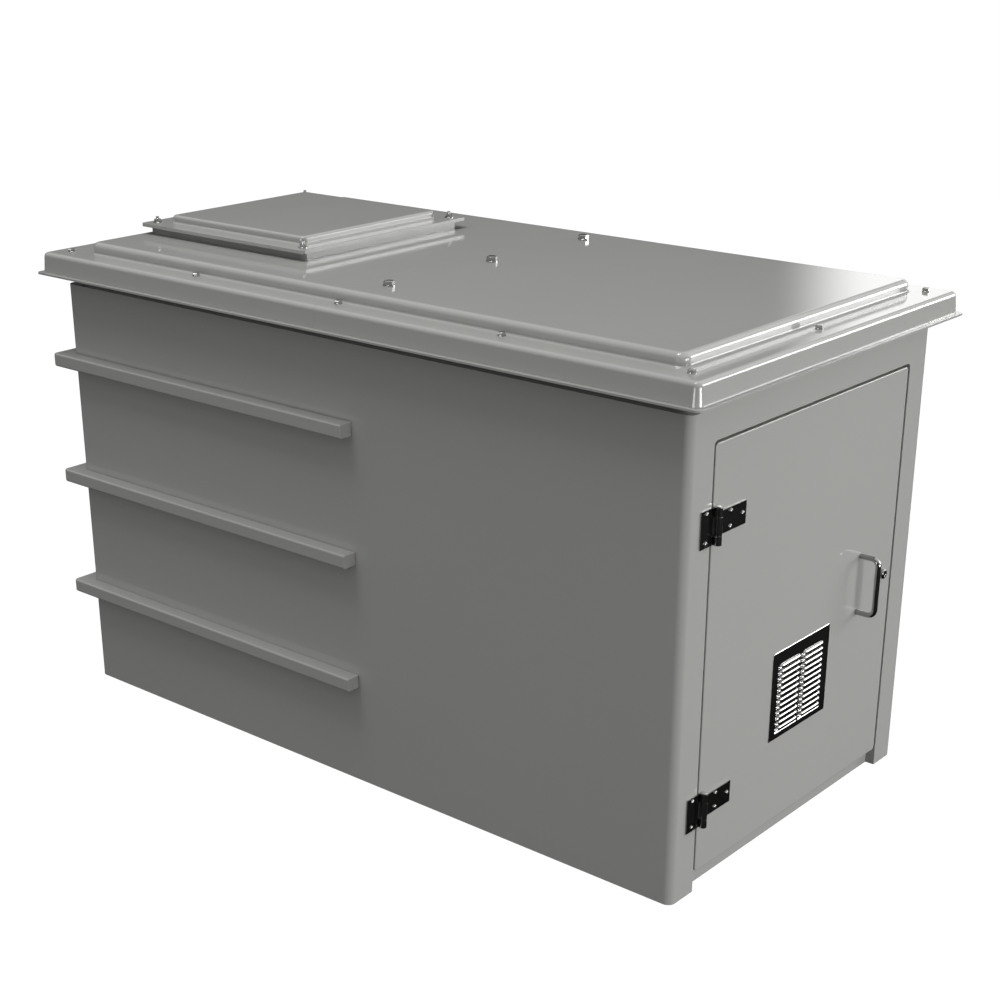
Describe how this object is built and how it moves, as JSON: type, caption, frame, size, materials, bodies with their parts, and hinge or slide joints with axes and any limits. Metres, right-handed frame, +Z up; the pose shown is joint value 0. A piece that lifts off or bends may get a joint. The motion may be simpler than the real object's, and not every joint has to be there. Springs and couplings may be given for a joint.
{
  "type": "roadside utility cabinet",
  "caption": "Glossy grey glass-fibre roadside utility cabinet with a bolted overhanging lid, roof hatch, hinged door, louvred vent and stiffening ribs.",
  "frame": {"origin": "on the floor under the middle of the cabinet's bounding box", "axes": "+Z up, the door faces -Y, the length runs along Y and the width along X"},
  "size_m": [1.144, 2.15, 1.323],
  "materials": {
    "gelcoat": "glossy grey gel-coat on glass-fibre laminate",
    "seal_rubber": "matt black cellular rubber strip",
    "stainless": "polished stainless steel",
    "mesh_black": "fine woven insect mesh, drawn as a sheet"
  },
  "bodies": {
    "cabinet": {"body_shell": "gelcoat", "rib_upper": "gelcoat", "rib_middle": "gelcoat", "rib_lower": "gelcoat", "lid_front": "gelcoat", "lid_rear": "gelcoat", "hatch_cover": "gelcoat", "lid_gasket": "seal_rubber", "hatch_gasket": "seal_rubber", "door_seal": "seal_rubber", "lid_bolts": "stainless", "lid_washers": "stainless", "lid_nuts": "stainless", "lid_joint_bolts": "stainless", "lid_joint_washers": "stainless", "lid_joint_nuts": "stainless", "hatch_studs": "stainless", "hatch_washers": "stainless", "hatch_nuts": "stainless", "hatch_lock_nuts": "stainless", "hinge_upper_leaf": "stainless", "hinge_lower_leaf": "stainless", "hinge_pins": "stainless", "hinge_leaf_screws": "stainless", "hinge_leaf_nuts": "stainless"},
    "door": {"door_panel": "gelcoat", "hinge_upper_strap": "stainless", "hinge_lower_strap": "stainless", "hinge_strap_screws": "stainless", "hinge_strap_nuts": "stainless", "pull_handle": "stainless", "handle_screws": "stainless", "handle_washers": "stainless", "lock_body": "stainless", "lock_nut": "stainless", "vent_plate": "stainless", "vent_mesh": "mesh_black"},
    "lock": {"lock_plug": "stainless", "lock_cam": "stainless", "lock_cam_screw": "stainless"}
  },
  "joints": [
    {"name": "door_hinge", "type": "hinge", "parent": "cabinet", "child": "door", "pos_m": [-0.41, -1.028, 0], "axis": [0, 0, -1], "range_deg": [0, 110]},
    {"name": "lock_turn", "type": "hinge", "parent": "door", "child": "lock", "pos_m": [0.365, -1.018, 0.56], "axis": [0, -1, 0], "range_deg": [0, 90]}
  ]
}
